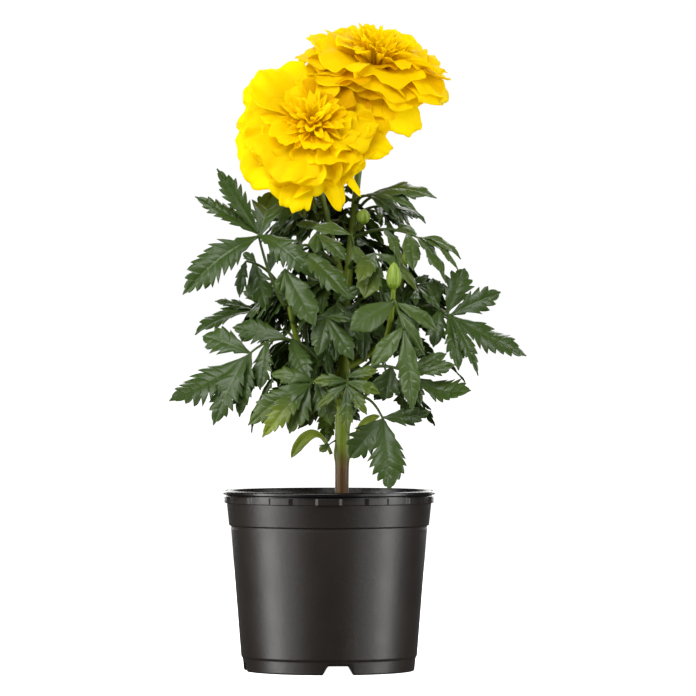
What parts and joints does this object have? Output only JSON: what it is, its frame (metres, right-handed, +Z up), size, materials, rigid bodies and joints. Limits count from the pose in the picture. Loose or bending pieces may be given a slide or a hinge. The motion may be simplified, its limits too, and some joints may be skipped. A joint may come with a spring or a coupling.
{
  "type": "potted marigold",
  "caption": "Marigold plant with double yellow blooms on long stalks above saw-edged leaves, growing in a round dark plastic nursery pot filled with potting mix.",
  "frame": {"origin": "on the surface the pot stands on, under the middle of the plant's spread; the pot's own axis is 10.7 mm to -X of it", "axes": "+Z up; the nearer bloom and the front of the plant look towards -Y; +X is to the right of someone who looks at the front"},
  "size_m": [0.1995, 0.1275, 0.3709],
  "materials": {
    "pot_plastic": "satin",
    "potting_mix": "matte",
    "stem": "satin",
    "leaf": "satin",
    "seed_leaf": "satin",
    "cup_green": "satin",
    "bud_green": "satin",
    "petal": "matte"
  },
  "bodies": {
    "root": {"bloom_back": "petal", "bloom_front": "petal", "bud_large": "bud_green", "bud_small": "bud_green", "bud_upper": "bud_green", "cup_back": "cup_green", "cup_front": "cup_green", "leaf_fill_1_1": "leaf", "leaf_fill_1_2": "leaf", "leaf_fill_1_3": "leaf", "leaf_fill_1_4": "leaf", "leaf_fill_2_1": "leaf", "leaf_fill_2_2": "leaf", "leaf_fill_2_3": "leaf", "leaf_fill_2_4": "leaf", "leaf_fill_2_5": "leaf", "leaf_fill_2_6": "leaf", "leaf_fill_3_1": "leaf", "leaf_fill_3_3": "leaf", "leaf_fill_3_5": "leaf", "leaf_fill_3_6": "leaf", "leaf_fill_3_7": "leaf", "leaf_fill_4_1": "leaf", "leaf_fill_4_2": "leaf", "leaf_fill_4_3": "leaf", "leaf_fill_4_4": "leaf", "leaf_fill_4_5": "leaf", "leaf_fill_5_1": "leaf", "leaf_fill_5_2": "leaf", "leaf_fill_5_3": "leaf", "leaf_fill_5_4": "leaf", "leaf_front_low": "leaf", "leaf_front_middle": "leaf", "leaf_front_pale": "leaf", "leaf_front_right": "leaf", "leaf_front_upper": "leaf", "leaf_left_front": "leaf", "leaf_left_long": "leaf", "leaf_left_middle": "leaf", "leaf_left_small": "leaf", "leaf_lower_front": "leaf", "leaf_lower_left": "leaf", "leaf_lower_right": "leaf", "leaf_right_inner": "leaf", "leaf_right_lower": "leaf", "leaf_right_middle": "leaf", "leaf_right_upper": "leaf", "leaf_sprig": "leaf", "leaf_top_left": "leaf", "leaf_top_right": "leaf", "leaf_upper_left": "leaf", "pot": "pot_plastic", "potting_mix": "potting_mix", "seed_leaf_left": "seed_leaf", "seed_leaf_right": "seed_leaf", "stem": "stem"}
  },
  "joints": []
}
